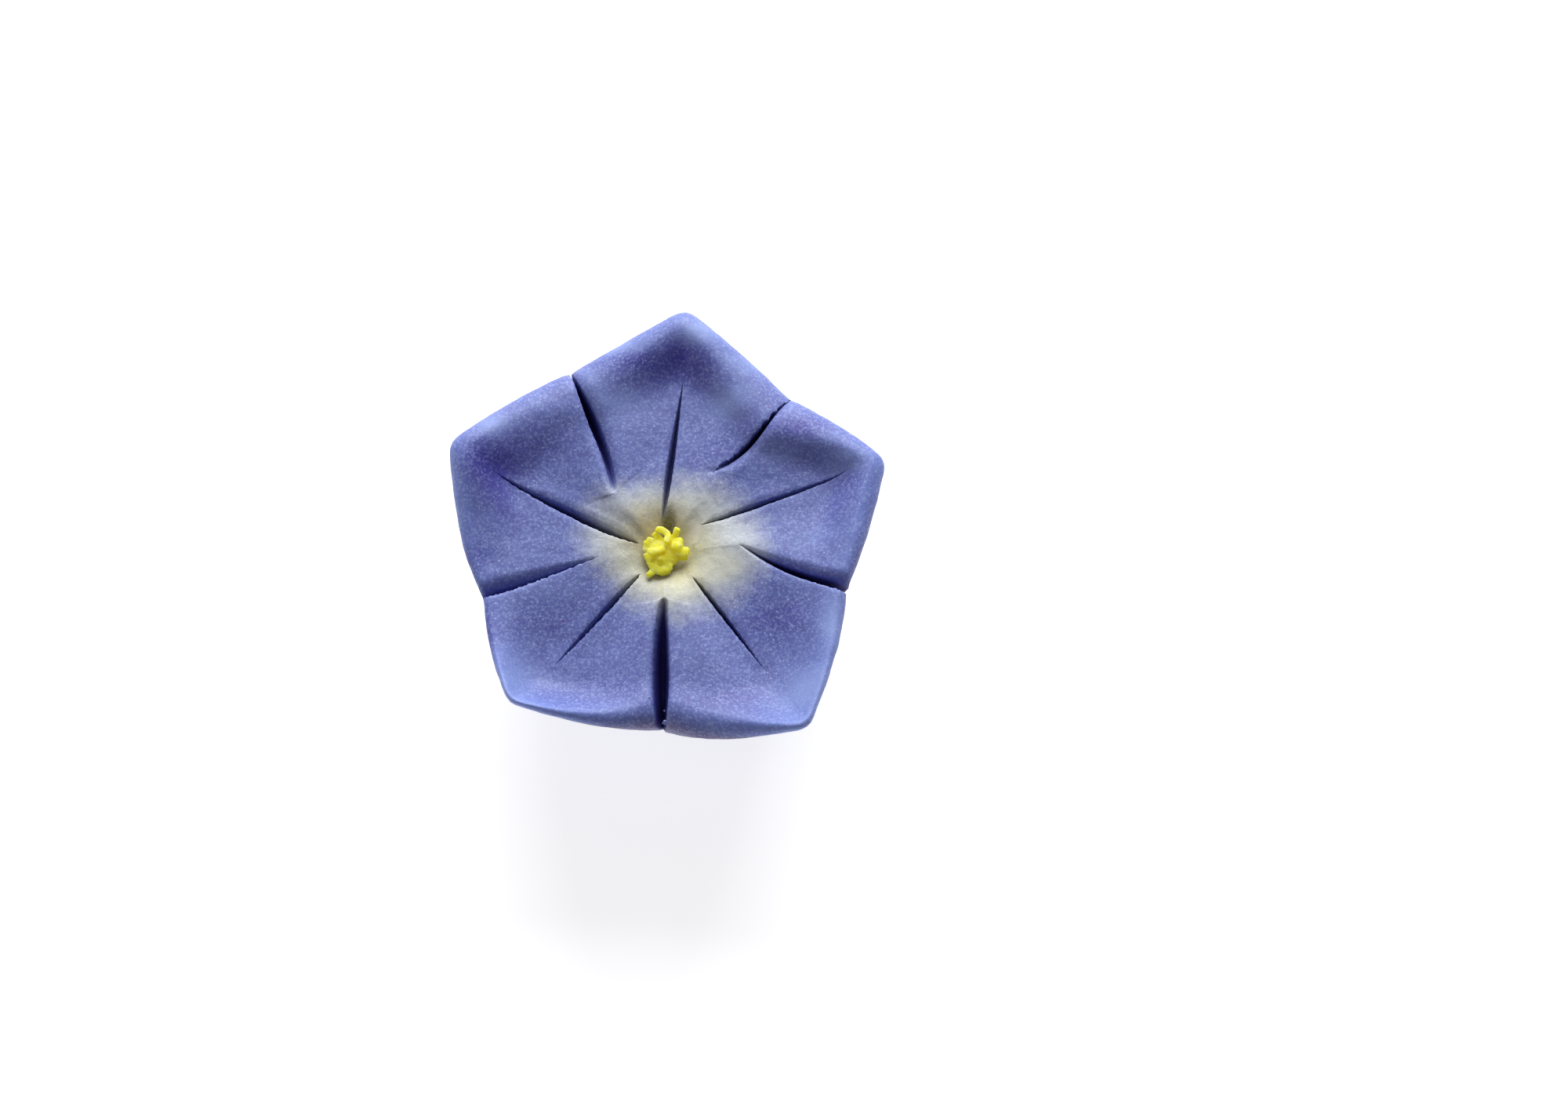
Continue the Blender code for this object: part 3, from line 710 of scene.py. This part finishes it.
def shape_dough(relief):
    """The flower's grid of points, columns by rings, and the values that its colours follow, among them
    the masks of painted shade, painted light and a painted highlight.
    """
    columns = dough_columns()
    cuts = [make_cut(number) for number in range(len(LINES))]
    widths = np.array([cut.half_width for cut in cuts])
    plunges = np.array([cut.plunge for cut in cuts])
    openings = np.array([cut.opening for cut in cuts])
    before, after = columns.sector, (columns.sector + 1) % len(LINES)
    full_turn = np.where(after == 0, FULL_TURN, 0.0)[:, None]

    rim_lines = np.array([math.radians(line.rim_angle) for line in LINES])
    first, second = rim_lines[before][:, None], rim_lines[after][:, None] + full_turn
    half = spread_angle(widths[:, TOP_RINGS : TOP_RINGS + 1], LINES[0].stop)
    rim_angle = between_lines(columns, first, second, half[before], half[after])[:, 0]
    outer = rim_reach(rim_angle)
    sector, tipness = between_corners(rim_angle)
    form = between_forms(sector, tipness)
    reach, height = dough_profile(outer, form)
    first, second = along_lines(before, reach), along_lines(after, reach) + full_turn
    first_half, second_half = spread_angle(widths[before], reach), spread_angle(widths[after], reach)
    angle = between_lines(columns, first, second, first_half, second_half)
    points = polar(reach, angle, height)
    normals = surface_normals(points)

    # The rolled edges beside the cuts.
    drop = np.zeros_like(reach)
    lips = np.array(LIPS)
    for number, gap, half, width, fall in (
        (before, angle - first, first_half, lips[:, 3], lips[:, 4]),
        (after, second - angle, second_half, lips[:, 0], lips[:, 1]),
    ):
        distance = np.maximum(0.0, (gap - half) * reach)
        strength = smooth_step(openings[number] * 1.2)
        roll = np.clip(1 - distance / (width[number][:, None] * np.maximum(strength, 0.2)), 0, 1)
        drop = np.maximum(drop, fall[number][:, None] * strength * roll**2)
    points[..., 2] -= drop * np.clip(height / form.crest[:, None], 0, 1) ** 2

    on_top = height > SIDE_TOP
    rolled = np.where(on_top, smooth_step(drop / 1.5), 0.0)
    for dent in DENTS:
        away = away_from(dent, points[..., 0], points[..., 1])
        points[..., 2] -= np.where(on_top, dent.depth * np.exp(-away), 0.0)

    # The ragged edges, where the dough has torn beside a cut.
    for number, across, torn, way in (
        (before, columns.leaving, lips[:, 5], 1.0),
        (after, CUT_SPREAD - columns.arriving, lips[:, 2], -1.0),
    ):
        for column in np.flatnonzero(np.abs(across - 1.0) < TEAR_WIDTH):
            line = number[column]
            if torn[line] == 0 or way * (0.5 - columns.share[column]) < 0:
                continue
            near = 1 - abs(across[column] - 1.0) / TEAR_WIDTH
            for ring in np.flatnonzero(openings[line] > 0.02):
                place = Vector((reach[column, ring] / TEAR_LENGTH, line * 7.3, way))
                jag = noise.fractal(place, 0.6, 2.2, 3) * torn[line] * near * way
                turn = angle[column, ring] + math.pi / 2
                points[column, ring] += jag * 2.0 * np.array([math.cos(turn), math.sin(turn), 0.0])

    # The cuts themselves, and the painted shade inside them, which deepens with a cut's depth and is
    # lighter in the veins.
    cut_shade = np.zeros_like(reach)
    leaving = (columns.share == 0)[:, None]
    arriving = (columns.share == 1)[:, None]
    for number, across, chosen in (
        (before, columns.leaving[:, None], leaving),
        (after, CUT_SPREAD - columns.arriving[:, None], arriving),
    ):
        depth = np.where(chosen, np.clip(1 - np.clip(across, 0, 1) ** CUT_WALL, 0, 1), 0.0)
        points += plunges[number] * depth[..., None]
        fallen = np.linalg.norm(plunges[number], axis=-1) * depth
        shallow = np.where(number % 2 == 0, 1.0, 0.6)[:, None]
        cut_shade = np.maximum(cut_shade, smooth_step(fallen / 2.2) * shallow)
    # The lips that roll down into a cut get painted shade as well.
    cut_shade = np.maximum(cut_shade, rolled * 0.7)

    # The uneven skin, which leaves the underside flat.
    standing = smooth_step(height / 2.0)
    for ring in range(1, points.shape[1] - 1):
        for column in range(points.shape[0]):
            steady = standing[column, ring]
            if steady > 0:
                lump = noise.fractal(Vector(points[column, ring] / LUMP_SIZE), 0.8, 2.7, 3)
                points[column, ring] += normals[column, ring] * (relief * steady * lump)
    points[..., 2] = np.maximum(points[..., 2], 0.0)
    # Painted shade on the inner walls under the back tips, where the light from behind does not reach,
    # fading out towards the front.
    tip_wall_shade = ((0.1 + 0.9 * tipness**3) * np.where(sector < 2, 0.25, 1.0))[:, None]
    tip_wall_shade = tip_wall_shade * np.exp(-(((reach - outer[:, None] + 6.0) / 2.8) ** 2))
    tip_wall_shade *= smooth_step((np.sin(rim_angle) + 0.1) / 0.4)[:, None]
    tip_wall_shade[:, TOP_RINGS + 1 :] = 0.0
    # Painted highlight: a paler band along the rim, stronger towards the tips and where the rim turns
    # over, weaker at the back, fading down the side.
    rim = smooth_step(1 - (outer[:, None] - reach) / RIM_WIDTH) * mix(0.4, 1.0, tipness)[:, None]
    turned = smooth_step(reach - (outer - form.inset)[:, None] + 0.7)
    rim += turned * (TIP_RIM * tipness ** np.where(sector == 8, 5.0, 1.9))[:, None]
    rim *= mix(1.0, BACK_RIM, smooth_step((np.sin(rim_angle) - 0.1) / 0.5))[:, None]
    rim *= smooth_step((height - form.crest[:, None]) / 1.6 + 2.2)
    # Painted shade: a darker violet on the side below the rim, weaker at the back, and a little on the
    # right flank.
    back = smooth_step((np.sin(rim_angle) + 0.25) / 0.4)
    begins = mix(2.0 * tipness**2, form.drop + 0.3, back)
    side = smooth_step((form.crest - begins)[:, None] / 1.9 - height / 1.9)
    side[:, : TOP_RINGS + 1] = 0.0
    side *= mix(1.0, 0.6, back)[:, None]
    flank_shade = np.exp(-((np.degrees(rim_angle[:, None]) - 4.0) / 13.0) ** 4)
    side = np.maximum(side, flank_shade * smooth_step((reach - outer[:, None]) / 1.6 + 1.0) * 0.3)
    # Painted shade and painted light in soft patches: over 0 darker, under 0 paler.
    dye = np.zeros_like(reach)
    for patch in map(ShadeLightPatch._make, SHADE_AND_LIGHT_PATCHES):
        away = away_from(patch, points[..., 0], points[..., 1])
        dye += np.where(on_top, patch.dye * np.exp(-away), 0.0)
    return points, {"tip_wall_shade": tip_wall_shade, "cut_shade": cut_shade, "rim": rim, "side": side, "dye": dye}


def grid_object(name, points, values):
    """A closed mesh from a grid of points in millimetres, whose first and last rings are single
    points. Each of values is kept on its points as an attribute for the shader."""
    columns, rings = points.shape[:2]
    body = points[:, 1:-1].reshape(-1, 3)
    first, last = len(body), len(body) + 1
    places = np.vstack([body, points[0, 0], points[0, -1]]) * MM
    here = np.arange(columns)
    after = (here + 1) % columns
    inner = rings - 2
    step = np.arange(inner - 1)
    near, far = here[:, None] * inner + step, after[:, None] * inner + step
    quads = np.stack([near, near + 1, far + 1, far], axis=-1).reshape(-1, 4)
    start = [(first, a * inner, b * inner) for a, b in zip(here, after)]
    end = [(last, b * inner + inner - 1, a * inner + inner - 1) for a, b in zip(here, after)]
    mesh = bpy.data.meshes.new(name)
    mesh.from_pydata(places.tolist(), [], quads.tolist() + start + end)
    for title, grid in values.items():
        attribute = mesh.attributes.new(title, "FLOAT", "POINT")
        numbers = np.append(grid[:, 1:-1].reshape(-1), [0.0, 0.0])
        attribute.data.foreach_set("value", numbers.astype(np.float32))
    return shown_object(name, mesh)


def mesh_of(name, drawn):
    """Turns a bmesh into a mesh."""
    mesh = bpy.data.meshes.new(name)
    drawn.to_mesh(mesh)
    drawn.free()
    return mesh


def shown_object(name, mesh):
    mesh.shade_smooth()
    made = bpy.data.objects.new(name, mesh)
    bpy.context.scene.collection.objects.link(made)
    return made


def petal_dough(look):
    """Bean-paste dough: fine pale grains, a cream heart that fades into periwinkle, a satin skin, and
    painted shade, painted light and a painted highlight.
    """
    shader = Shader("petal dough")
    point = shader.add("ShaderNodeTexCoord").output("Object")
    split = shader.add("ShaderNodeSeparateXYZ", {}, {"Vector": point})
    x, y, z = split.output("X"), split.output("Y"), split.output("Z")
    reach = (x * x + y * y) ** 0.5
    angle = y.direction_to(x)
    # The masks kept on the mesh: painted shade under the back tips, in the cuts, on the side and in the
    # patches, painted light in the patches, and the painted highlight along the rim.
    tip_wall_shade, cut_shade, rim, side, dye = (
        shader.add("ShaderNodeAttribute", {"attribute_name": name}).output("Fac")
        for name in ("tip_wall_shade", "cut_shade", "rim", "side", "dye")
    )

    clouds = shader.noise(point, 3.2 * MM, 3.0)
    mottle = shader.noise(point, 0.9 * MM, 2.0, 0.6)
    fine = shader.noise(point, 0.22 * MM, 2.0, 0.7)
    grit = shader.noise(point, look.grain_size, 1.0).step_between(0.42, 0.72)
    grain = shader.add(
        "ShaderNodeTexVoronoi", {"feature": "F1"}, {"Vector": point, "Scale": 1 / look.grain_size}
    )
    drawn = shader.add("ShaderNodeSeparateColor", {}, {"Color": grain.output("Color")})
    pale_grain = grain.step_between(0.42, 0.1) * drawn ** 2.0
    upper = z.step_between(13 * MM, 21 * MM) * 0.6 + 0.4
    pale = (grit * 0.42 + pale_grain * 0.8) * (1.0 - tip_wall_shade * 0.6) * upper

    wave = (angle - math.radians(30)).cosine() * (1.7 * MM)
    wave = wave + ((angle + math.radians(23)) * 2.0).cosine() * (0.85 * MM)
    for direction, swelling in HEART_LOBES:
        lobe = (angle - math.radians(direction)).cosine().clamped() ** 8.0
        wave = wave + lobe * (swelling * MM)
    edge = look.heart_reach + wave + (clouds - 0.5) * (3.2 * MM) + (mottle - 0.5) * (2.0 * MM)
    edge = edge + (fine - 0.5) * (2.2 * MM)
    half_fade = look.heart_fade / 2
    heart = (reach - edge).step_between(half_fade, -half_fade)
    # Painted bounce light: a tan glow on the pit's back left wall, as from the yellow strands.
    pit = (reach + (clouds - 0.5) * (1.5 * MM)).step_between(8.0 * MM, 2.6 * MM)
    pit = pit * ((angle - math.radians(117)).cosine().clamped() ** 1.8)

    petals = shader.layers(
        look.petal_colour,
        (look.violet_colour, clouds.step_between(0.62, 0.35) * 0.4),
        (look.violet_colour, mottle.step_between(0.6, 0.38) * 0.4),
        # Painted highlight along the rim.
        (look.rim_highlight_colour, (rim * 0.45).clamped()),
        (TURNED_RIM_HIGHLIGHT, (rim - 1.0).clamped() * 0.8),
        # Painted shade under the back tips.
        (look.tip_wall_shade_colour, tip_wall_shade.clamped()),
        # Painted light and painted shade of the patches.
        (PATCH_LIGHT_COLOUR, (dye * -1.0).clamped()),
        (look.patch_shading_colour, dye.clamped()),
        # Painted shade on the side.
        (look.side_shading_colour, side * upper),
        (look.grain_colour, pale),
    )
    warm_side = (angle + math.radians(25)).cosine().clamped()
    cream = shader.layers(
        OUTER_CREAM,
        (look.heart_colour, reach.step_between(9.0 * MM, 3.6 * MM)),
        (WARM_CREAM, reach.step_between(7.4 * MM, 3.0 * MM) * warm_side),
        # Painted bounce light in the pit.
        (look.pit_bounce_light_colour, pit),
        (look.shade_cream, mottle.step_between(0.58, 0.3) * 0.35),
    )
    # Painted shade and painted light of the heart's spots.
    for spot in HEART_SPOTS:
        share = away_from(spot, x, y, MM).step_between(spot.fade, 0.1) * spot.strength
        cream = shader.blend(cream, spot.colour, share)
    cream = shader.blend(cream, CREAM_GRAIN, pale * 0.55)
    painted = shader.blend(petals, cream, heart)
    for fleck in FLECKS:
        away = ((x - fleck.x * MM) ** 2.0 + (y - fleck.y * MM) ** 2.0) ** 0.5
        share = away.step_between(fleck.radius * MM, 0.3 * fleck.radius * MM) * fleck.strength
        painted = shader.blend(painted, MAGENTA, share)
    # Painted shade in the cuts and on the rolled lips.
    painted = shader.blend(painted, CUT_SHADE_COLOUR, cut_shade * 0.9)

    skin = shader.bump(fine, 0.05 * MM, 0.5)
    skin = shader.bump(pale_grain, 0.03 * MM, 0.6, skin)
    skin = shader.bump(mottle, 0.06 * MM, 0.5, skin)
    return shader.finish(
        Base_Color=painted,
        Roughness=mottle * 0.16 + 0.46,
        Normal=skin,
        Subsurface_Weight=0.15,
        Subsurface_Radius=(1.0, 0.9, 1.6),
        Subsurface_Scale=0.5 * MM,
        Specular_IOR_Level=0.45,
    )


class BELLFLOWER_OT_petals(bpy.types.Operator):
    """Press the petals out of one lump of dough"""

    bl_idname = "bellflower.petals"
    bl_label = "Petals"

    def execute(self, context):
        look = context.scene.bellflower_petals
        petals = grid_object("petal_dough", *shape_dough(look.relief / MM))
        petals.data.materials.append(petal_dough(look))
        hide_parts("flower")
        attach(petals, "root")
        return {"FINISHED"}


def strand_mesh(strand, number):
    """A ball drawn out into a lumpy strand along a bowed path, in a bmesh, in millimetres."""
    root, end = Vector(strand.root), Vector(strand.end)
    along = end - root
    across = Vector((-along.y, along.x, 0.0)).normalized()
    upward = along.cross(across).normalized()
    bm = bmesh.new()
    bmesh.ops.create_uvsphere(bm, u_segments=STRAND_SIDES, v_segments=STRAND_RINGS, radius=1.0)
    for vert in bm.verts:
        share = (vert.co.z + 1) / 2
        ripple = 1 + 0.10 * noise.noise(Vector((share * along.length * 1.7, number * 5.3, 0.0)))
        ripple += 0.05 * noise.noise(Vector((share * along.length * 5.5, number * 2.9, 4.0)))
        thickness = strand.width / 2 * (1 - STRAND_TAPER * (1 - share)) * ripple
        middle = root + along * share + across * (strand.bow * math.sin(math.pi * share))
        around = Vector((vert.co.x, vert.co.y))
        fullness = around.length**STRAND_BLUNTNESS
        if fullness > 0:
            around.normalize()
        wide, high = (
            math.copysign(abs(part) ** STRAND_SQUARENESS, part) * fullness for part in around
        )
        vert.co = middle + (across * wide + upward * (high * strand.flatness)) * thickness
    return bm


def fuse(made, cell):
    """Remeshes an object into one skin, and applies it."""
    remesh = made.modifiers.new("fuse", "REMESH")
    remesh.mode = "VOXEL"
    remesh.voxel_size = cell
    smooth = made.modifiers.new("soften", "SMOOTH")
    smooth.factor = 0.5
    smooth.iterations = 6
    graph = bpy.context.evaluated_depsgraph_get()
    fused = bpy.data.meshes.new_from_object(made.evaluated_get(graph))
    made.modifiers.clear()
    made.data = fused
    made.data.shade_smooth()


def roughen(mesh, height, sizes):
    """Moves a mesh's points along their normals by noise, in metres. sizes are its lumps' sizes."""
    for vert in mesh.vertices:
        lump = sum(noise.noise(vert.co / size) * size / sizes[0] for size in sizes)
        vert.co += vert.normal * (height * lump)


def strand_dough(look):
    """Yellow dough: translucent and matt, paler in patches."""
    shader = Shader("strand dough")
    point = shader.add("ShaderNodeTexCoord").output("Object")
    mottle = shader.noise(point, 0.7 * MM, 2.0)
    fine = shader.noise(point, 0.16 * MM, 2.0, 0.6)
    painted = shader.layers(
        look.strand_colour,
        (look.pale_colour, mottle.step_between(0.45, 0.75) * 0.6),
        (look.deep_colour, mottle.step_between(0.48, 0.25) * 0.7),
    )
    return shader.finish(
        Base_Color=painted,
        Roughness=fine * 0.2 + 0.55,
        Normal=shader.bump(fine, 0.03 * MM, 0.4),
        Subsurface_Weight=1.0,
        Subsurface_Radius=(1.0, 0.9, 0.35),
        Subsurface_Scale=2.6 * MM,
        Specular_IOR_Level=0.2,
    )


class BELLFLOWER_OT_crumbs(bpy.types.Operator):
    """Drop the loose crumbs on the petals"""

    bl_idname = "bellflower.crumbs"
    bl_label = "Crumbs"

    def execute(self, context):
        look = context.scene.bellflower_crumbs
        petals = bpy.data.objects["petal_dough"]
        joined = bmesh.new()
        for number, crumb in enumerate(CRUMBS):
            above = Vector((crumb.x, crumb.y, 40.0)) * MM
            found, place, normal, _ = petals.ray_cast(above, Vector((0.0, 0.0, -1.0)))
            if not found:
                raise RuntimeError("There is no dough under a crumb.")
            place += normal * (0.4 * crumb.radius * MM)
            drawn = bmesh.ops.create_icosphere(joined, subdivisions=3, radius=1.0)
            for vert in drawn["verts"]:
                lump = noise.noise(vert.co * 1.4 + Vector((look.seed, number * 7.0, 0.0)))
                lump += 0.5 * noise.noise(vert.co * 3.1 + Vector((number * 3.0, look.seed, 0.0)))
                size = crumb.radius * MM * (1 + look.lumpiness * lump)
                vert.co = place + Vector((vert.co.x * 1.2, vert.co.y, vert.co.z * 0.8)) * size
        mesh = mesh_of("crumbs", joined)
        pale = mesh.attributes.new("rim", "FLOAT", "POINT")
        pale.data.foreach_set("value", [CRUMB_PALENESS] * len(mesh.vertices))
        crumbs = shown_object("crumbs", mesh)
        crumbs.data.materials.append(petals.data.materials[0])
        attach(crumbs, "root")
        return {"FINISHED"}


class BELLFLOWER_OT_stamens(bpy.types.Operator):
    """Set the tuft of yellow strands in the heart"""

    bl_idname = "bellflower.stamens"
    bl_label = "Stamens"

    def execute(self, context):
        look = context.scene.bellflower_stamens
        joined = bmesh.new()
        bmesh.ops.create_icosphere(joined, subdivisions=4, radius=1.0)
        for vert in joined.verts:
            vert.co = Vector(CORE_CENTRE) + vert.co * Vector(CORE_RADII)
        for number, strand in enumerate(map(Strand._make, STRANDS)):
            piece = mesh_of("strand", strand_mesh(strand, number))
            joined.from_mesh(piece)
            bpy.data.meshes.remove(piece)
        bmesh.ops.scale(joined, vec=(MM, MM, MM), verts=joined.verts)
        tuft = shown_object("stamen_strands", mesh_of("stamen_strands", joined))
        fuse(tuft, look.fusing)
        roughen(tuft.data, look.raggedness, (0.5 * MM, 0.22 * MM))
        tuft.data.materials.append(strand_dough(look))
        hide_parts("stamens")
        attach(tuft, "root")
        return {"FINISHED"}


def floor_paint(look):
    """A matt pale floor with a faint glow."""
    return Shader("floor").finish(
        Base_Color=look.floor_colour,
        Roughness=0.8,
        Emission_Color=(1.0, 1.0, 1.0),
        Emission_Strength=look.floor_glow,
    )


def soft_light(name, place, aim, size, power, tint):
    """A square area light, placed and aimed in metres."""
    lamp = bpy.data.lights.new(name, "AREA")
    lamp.shape = "SQUARE"
    lamp.size = size
    lamp.energy = power
    lamp.color = tint
    made = bpy.data.objects.new(name, lamp)
    made.location = place
    made.rotation_euler = (Vector(aim) - Vector(place)).to_track_quat("-Z", "Y").to_euler()
    bpy.context.scene.collection.objects.link(made)


class BELLFLOWER_OT_stage(bpy.types.Operator):
    """Lay the floor, and set up the lights and the camera"""

    bl_idname = "bellflower.stage"
    bl_label = "Stage"

    def execute(self, context):
        look = context.scene.bellflower_stage
        scene = context.scene
        bm = bmesh.new()
        bmesh.ops.create_grid(bm, x_segments=1, y_segments=1, size=look.floor_size / 2)
        floor = shown_object("floor", mesh_of("floor", bm))
        floor.data.materials.append(floor_paint(look))

        middle = (0.0, 0.0, 0.015)
        soft_light("back light", (0.05, 0.51, 0.33), middle, 0.5, look.key_power, (0.95, 0.97, 1.0))
        soft_light("left light", (-0.5, -0.12, 0.3), middle, 0.4, look.fill_power, (0.98, 0.98, 1.0))
        world = bpy.data.worlds.new("studio")
        world.use_nodes = True
        background = world.node_tree.nodes["Background"]
        background.inputs["Color"].default_value = (0.88, 0.86, 1.0, 1.0)
        background.inputs["Strength"].default_value = look.ambient
        scene.world = world

        camera = bpy.data.objects.new("camera", bpy.data.cameras.new("camera"))
        camera.data.lens = CAMERA_LENS
        camera.data.clip_start = 0.01
        camera.location = Vector(CAMERA_PLACE) * MM
        camera.rotation_euler = (math.radians(90 - CAMERA_ELEVATION), 0.0, 0.0)
        scene.collection.objects.link(camera)
        scene.camera = camera
        scene.view_settings.view_transform = "Standard"
        return {"FINISHED"}


class BELLFLOWER_PT_sidebar(bpy.types.Panel):
    bl_idname = "BELLFLOWER_PT_sidebar"
    bl_label = "Bellflower Sweet"
    bl_space_type = "VIEW_3D"
    bl_region_type = "UI"
    bl_category = "Sweet"

    def draw(self, context):
        for operator, settings in PARTS:
            box = self.layout.box()
            box.operator(operator.bl_idname)
            group = getattr(context.scene, settings[0])
            for name in settings[1].__annotations__:
                box.prop(group, name)


# Each operator, in the order of work, with the name and type of its settings.
PARTS = (
    (BELLFLOWER_OT_petals, ("bellflower_petals", BellflowerPetals)),
    (BELLFLOWER_OT_crumbs, ("bellflower_crumbs", BellflowerCrumbs)),
    (BELLFLOWER_OT_stamens, ("bellflower_stamens", BellflowerStamens)),
    (BELLFLOWER_OT_stage, ("bellflower_stage", BellflowerStage)),
)


def register():
    for operator, (name, settings) in PARTS:
        bpy.utils.register_class(settings)
        bpy.utils.register_class(operator)
        setattr(bpy.types.Scene, name, PointerProperty(type=settings))
    bpy.utils.register_class(BELLFLOWER_PT_sidebar)


def unregister():
    bpy.utils.unregister_class(BELLFLOWER_PT_sidebar)
    for operator, (name, settings) in reversed(PARTS):
        delattr(bpy.types.Scene, name)
        bpy.utils.unregister_class(operator)
        bpy.utils.unregister_class(settings)


def main():
    register()
    bpy.ops.bellflower.petals()
    bpy.ops.bellflower.crumbs()
    bpy.ops.bellflower.stamens()
    bpy.ops.bellflower.stage()


if __name__ == "__main__":
    main()
